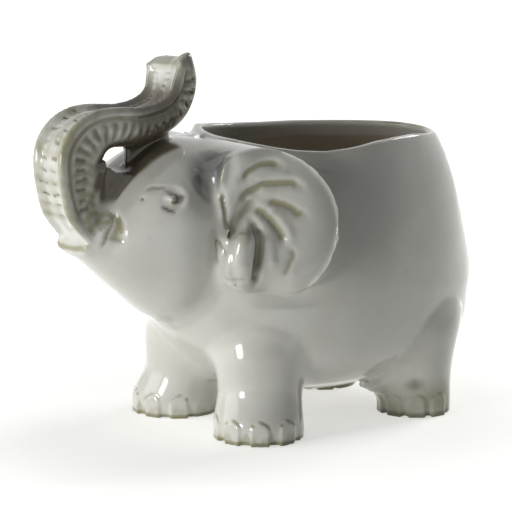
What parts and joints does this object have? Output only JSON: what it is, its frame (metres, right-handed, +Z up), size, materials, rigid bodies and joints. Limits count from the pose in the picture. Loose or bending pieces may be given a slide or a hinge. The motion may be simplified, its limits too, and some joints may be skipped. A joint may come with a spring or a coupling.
{
  "type": "animal shaped planter",
  "caption": "Elephant shaped plant pot in glazed stoneware, trunk raised and curled back over the head, with an oval pot open along the back, standing on four hollow legs.",
  "frame": {"origin": "middle of the bounding box on the surface that the feet stand on", "axes": "+X to the elephant's left, +Y to its rear so that the head and trunk are at -Y, +Z up"},
  "size_m": [0.1388, 0.2558, 0.1915],
  "materials": {
    "glaze": "gloss off-white glaze that breaks to olive brown on edges and in hollows"
  },
  "bodies": {
    "root": {"pot_body": "glaze", "head": "glaze", "trunk": "glaze", "left_ear": "glaze", "right_ear": "glaze", "front_left_leg": "glaze", "front_right_leg": "glaze", "rear_left_leg": "glaze", "rear_right_leg": "glaze", "left_eye": "glaze", "right_eye": "glaze", "tail": "glaze"}
  },
  "joints": []
}
